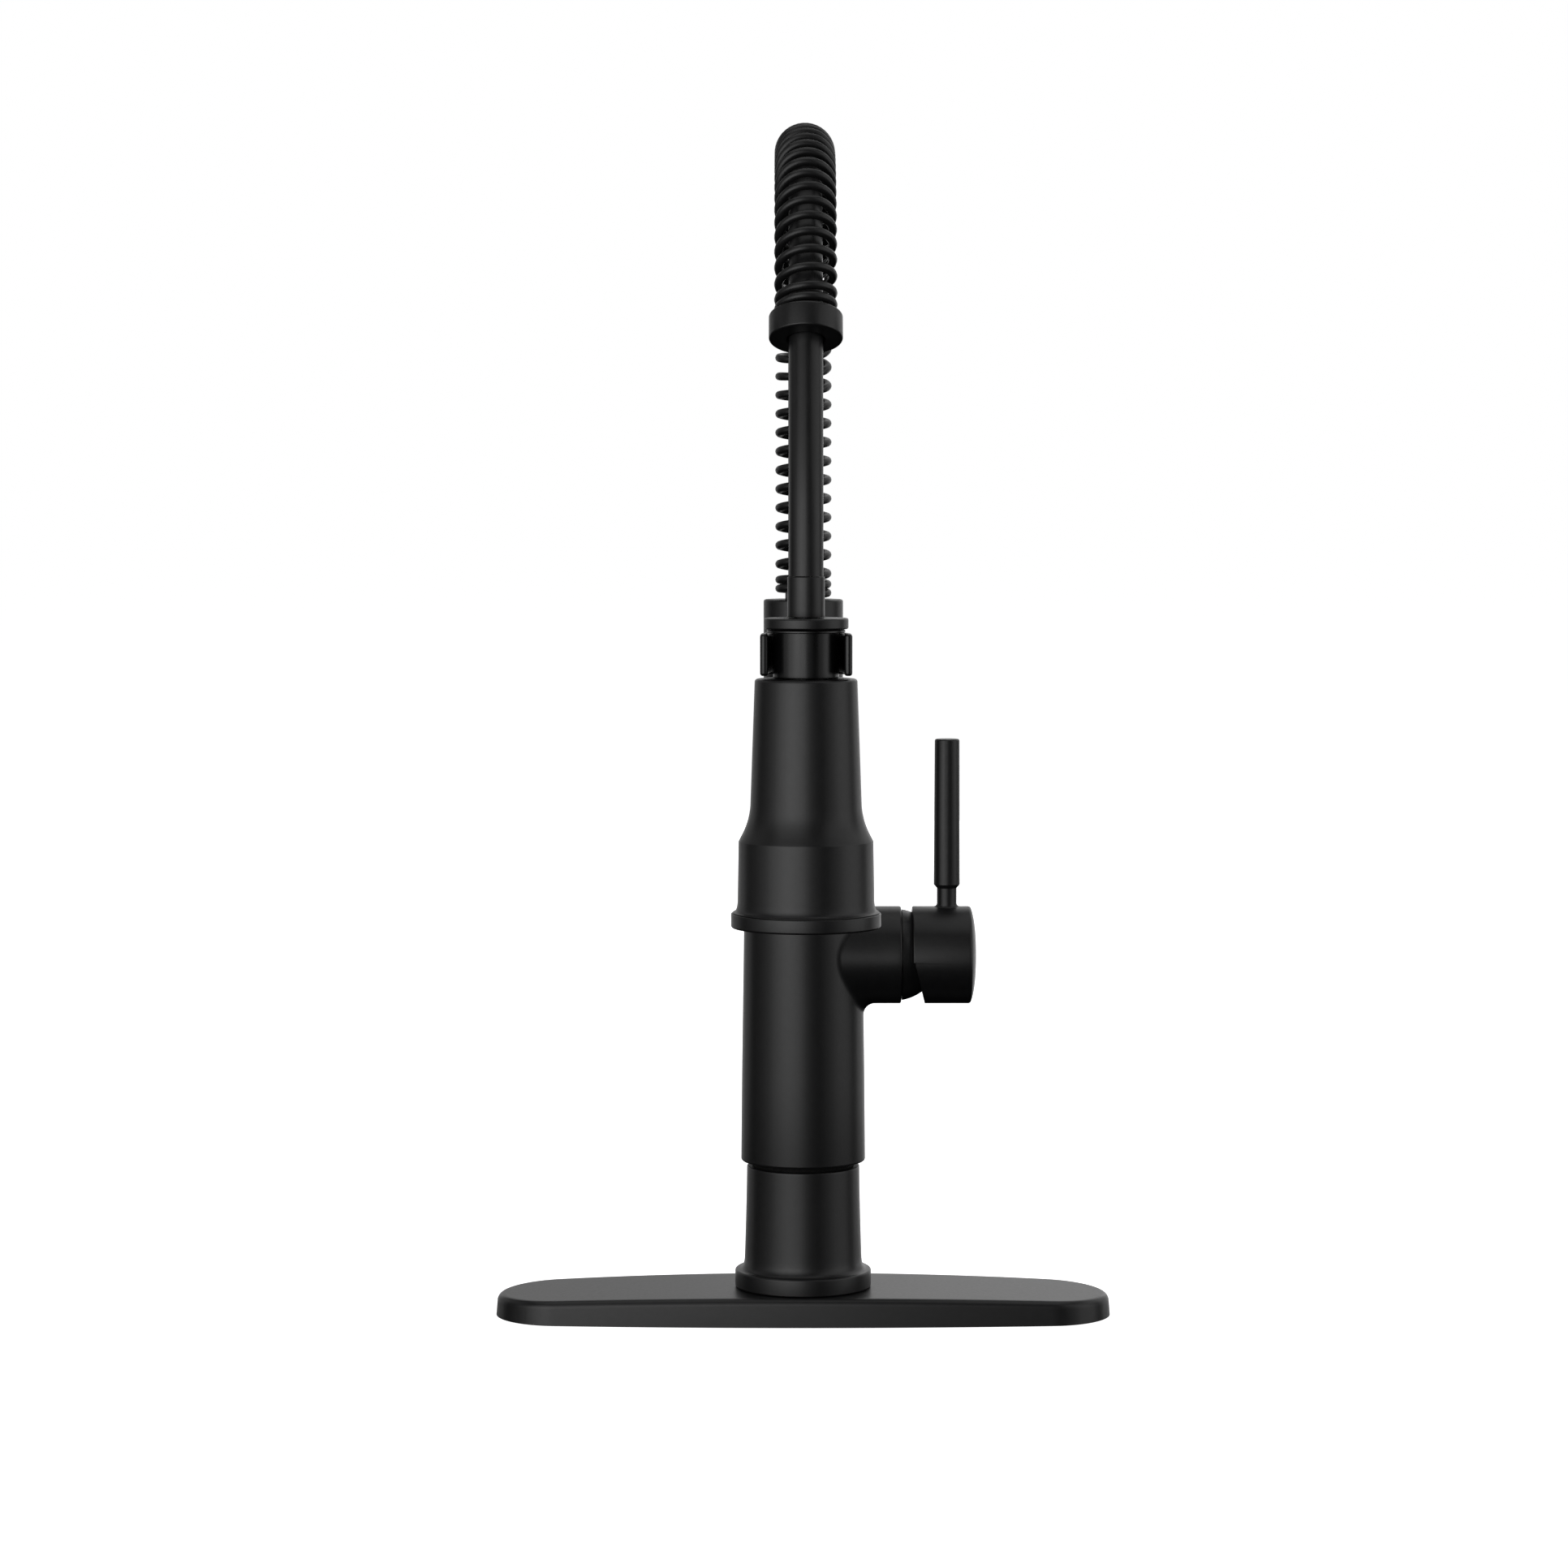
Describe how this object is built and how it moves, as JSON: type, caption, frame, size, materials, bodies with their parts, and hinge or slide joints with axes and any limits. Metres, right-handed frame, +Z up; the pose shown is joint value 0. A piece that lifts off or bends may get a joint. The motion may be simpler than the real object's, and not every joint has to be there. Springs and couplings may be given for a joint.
{
  "type": "spring neck kitchen faucet",
  "caption": "Single-lever kitchen faucet with a coil-spring arch, a spray wand docked in a clip on an arm, and an oblong deck plate.",
  "frame": {"origin": "on the body's vertical axis at the deck's surface, where the gasket rests", "axes": "+Z up along the body, -Y towards the user and the spray wand, +X towards the lever"},
  "size_m": [0.26, 0.2813, 0.5496],
  "materials": {
    "matte_black": "matte black powder coat, fine texture",
    "gloss_black": "gloss black moulded plastic",
    "spring_black": "matte black coated spring wire",
    "hose_black": "smooth satin black hose",
    "rubber": "matte black rubber",
    "grey_rubber": "soft dark grey silicone",
    "dark_plastic": "matte dark plastic",
    "inner_plastic": "natural moulded plastic",
    "brass": "machined brass",
    "steel": "turned stainless steel"
  },
  "bodies": {
    "base": {"deck_gasket": "rubber", "deck_plate": "matte_black", "deck_support": "inner_plastic", "mounting_shank": "brass", "mounting_washer": "steel", "mounting_nut": "brass", "base_seal": "rubber", "base_flange": "matte_black", "valve_body": "brass", "body_sleeve": "matte_black", "valve_cartridge": "inner_plastic", "cartridge_retainer": "brass", "dome_cap": "matte_black", "swivel_bush": "dark_plastic", "swivel_seal_lower": "rubber", "swivel_seal_upper": "rubber"},
    "mixer": {"mixer_rotor": "dark_plastic", "rotor_pin": "steel"},
    "handle": {"lever_stem": "steel", "handle_cap": "matte_black", "handle_lever": "matte_black", "handle_set_screw": "steel"},
    "spout": {"spout_column": "matte_black", "spring_post": "steel", "spout_spring": "spring_black", "spray_hose": "hose_black", "spring_collar": "matte_black", "support_arm": "matte_black", "dock_clip": "gloss_black", "clip_screw": "steel"},
    "hose_end": {"hose_ferrule": "matte_black"},
    "wand": {"flange_disc": "matte_black", "wand_neck": "gloss_black", "check_valve": "inner_plastic", "waterway_core": "inner_plastic", "wand_shell": "matte_black", "bell_rim": "matte_black", "spray_face": "dark_plastic", "nozzle_pad": "grey_rubber", "aerator": "steel"},
    "button": {"spray_button": "gloss_black", "button_plunger": "steel"}
  },
  "joints": [
    {"name": "spout_swivel", "type": "hinge", "parent": "base", "child": "spout", "pos_m": [0, 0, 0.1976], "axis": [0, 0, 1], "continuous": true},
    {"name": "mixer_turn", "type": "hinge", "parent": "base", "child": "mixer", "pos_m": [0.0384, 0, 0.1529], "axis": [1, 0, 0], "range_deg": [-45, 45]},
    {"name": "handle_tilt", "type": "hinge", "parent": "mixer", "child": "handle", "pos_m": [0.0384, 0, 0.1529], "axis": [0, 1, 0], "range_deg": [0, 22]},
    {"name": "wand_pull", "type": "slide", "parent": "spout", "child": "hose_end", "axis": [0, -1, 0], "range_m": [0, 0.045]},
    {"name": "wand_spin", "type": "hinge", "parent": "hose_end", "child": "wand", "pos_m": [0, -0.222, 0.3], "axis": [0, 0, 1], "continuous": true},
    {"name": "button_press", "type": "slide", "parent": "wand", "child": "button", "axis": [0, -1, 0], "range_m": [0, 0.002], "stiffness_N_per_m": 800}
  ]
}
